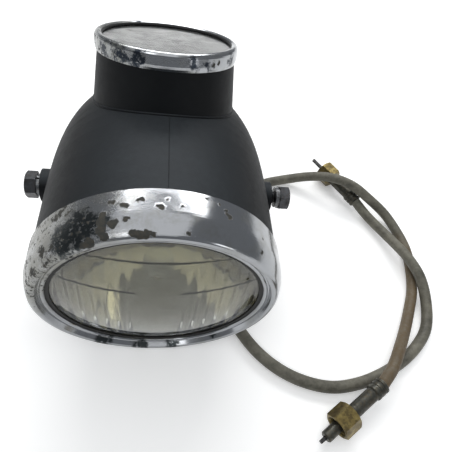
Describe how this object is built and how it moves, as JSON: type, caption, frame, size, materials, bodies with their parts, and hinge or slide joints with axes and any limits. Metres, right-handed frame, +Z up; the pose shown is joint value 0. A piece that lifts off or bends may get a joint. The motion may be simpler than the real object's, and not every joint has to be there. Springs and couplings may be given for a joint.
{
  "type": "motorcycle headlight",
  "caption": "Motorcycle headlight with a deep shell, a chrome rim, a domed lens and a tilted instrument turret on top, with a loose drive cable beside it.",
  "frame": {"origin": "centre of the box round the headlight without its loose cable, at the floor under the rim", "axes": "+Z up, the lens faces -Y along the optical axis, +X to the viewer's right, along the side bolts"},
  "size_m": [0.341, 0.2797, 0.1888],
  "materials": {
    "black_paint": "matte",
    "rim_chrome": "worn",
    "bright_steel": "satin",
    "black_rubber": "matte",
    "lens_glass": "gloss",
    "reflector_silver": "gloss",
    "bulb_glass": "gloss",
    "lamp_brass": "satin",
    "bezel_chrome": "gloss",
    "dial_glass": "gloss",
    "spacer_black": "matte",
    "dial_grey": "matte",
    "needle_paint": "satin",
    "movement_brass": "satin",
    "case_paint": "satin",
    "bolt_steel": "satin",
    "washer_steel": "satin",
    "sheath_rubber": "matte",
    "ferrule_steel": "satin",
    "nut_brass": "tarnished",
    "core_steel": "satin"
  },
  "bodies": {
    "housing": {"shell": "black_paint", "turret": "black_paint", "boss_left": "black_paint", "boss_right": "black_paint", "bezel": "bezel_chrome", "dial_glass": "dial_glass", "dial_spacer": "spacer_black", "dial": "dial_grey", "movement": "movement_brass", "instrument_case": "case_paint", "bracket": "bright_steel", "bracket_nut_1": "bright_steel", "bracket_nut_2": "bright_steel", "bolt_left": "bolt_steel", "bolt_right": "bolt_steel", "washer_left": "washer_steel", "washer_right": "washer_steel", "nut_left": "bolt_steel", "nut_right": "bolt_steel", "cable_grommet": "black_rubber", "loom_grommet": "black_rubber", "cable_sheath": "sheath_rubber", "ferrule_upper": "ferrule_steel", "ferrule_lower": "ferrule_steel"},
    "light_unit": {"rim": "rim_chrome", "rim_hook": "bright_steel", "rim_screw": "bright_steel", "rim_nut": "bright_steel", "lens_gasket": "black_rubber", "lens": "lens_glass", "reflector": "reflector_silver", "clip_1": "bright_steel", "clip_2": "bright_steel", "clip_3": "bright_steel", "clip_4": "bright_steel", "bulb_glass": "bulb_glass", "bulb_cap": "lamp_brass", "bulb_holder": "bright_steel", "bulb_contact": "lamp_brass"},
    "needle": {"needle": "needle_paint"},
    "drive_spindle": {"drive_spindle": "bright_steel"},
    "union_nut_upper": {"union_nut_upper": "nut_brass"},
    "union_nut_lower": {"union_nut_lower": "nut_brass"},
    "core_upper": {"core_upper": "core_steel"},
    "core_lower": {"core_lower": "core_steel"}
  },
  "joints": [
    {"name": "rim_swing", "type": "hinge", "parent": "housing", "child": "light_unit", "pos_m": [-0.00225, -0.06207, 0.1586], "axis": [-1, 0, 0], "range_deg": [0, 14]},
    {"name": "needle_sweep", "type": "hinge", "parent": "housing", "child": "needle", "pos_m": [-0.00225, 0.05118, 0.16978], "axis": [0, -0.3305, -0.9438], "range_deg": [0, 240], "stiffness_Nm_per_rad": 0.00002},
    {"name": "drive_turn", "type": "hinge", "parent": "housing", "child": "drive_spindle", "pos_m": [-0.00225, 0.0297, 0.10843], "axis": [0, 0.3305, 0.9438], "continuous": true},
    {"name": "upper_nut_turn", "type": "hinge", "parent": "housing", "child": "union_nut_upper", "pos_m": [0.17735, 0.09478, 0.011], "axis": [-0.524, 0.8517, 0], "continuous": true},
    {"name": "lower_nut_turn", "type": "hinge", "parent": "housing", "child": "union_nut_lower", "pos_m": [0.13788, -0.14575, 0.01211], "axis": [-0.8296, -0.5491, -0.1011], "continuous": true},
    {"name": "upper_core_turn", "type": "hinge", "parent": "housing", "child": "core_upper", "pos_m": [0.17735, 0.09478, 0.011], "axis": [-0.524, 0.8517, 0], "continuous": true},
    {"name": "lower_core_turn", "type": "hinge", "parent": "housing", "child": "core_lower", "pos_m": [0.13788, -0.14575, 0.01211], "axis": [-0.8296, -0.5491, -0.1011], "continuous": true}
  ],
  "couplings": [
    {"joint": "upper_core_turn", "follows": "lower_core_turn", "ratio": -1}
  ]
}
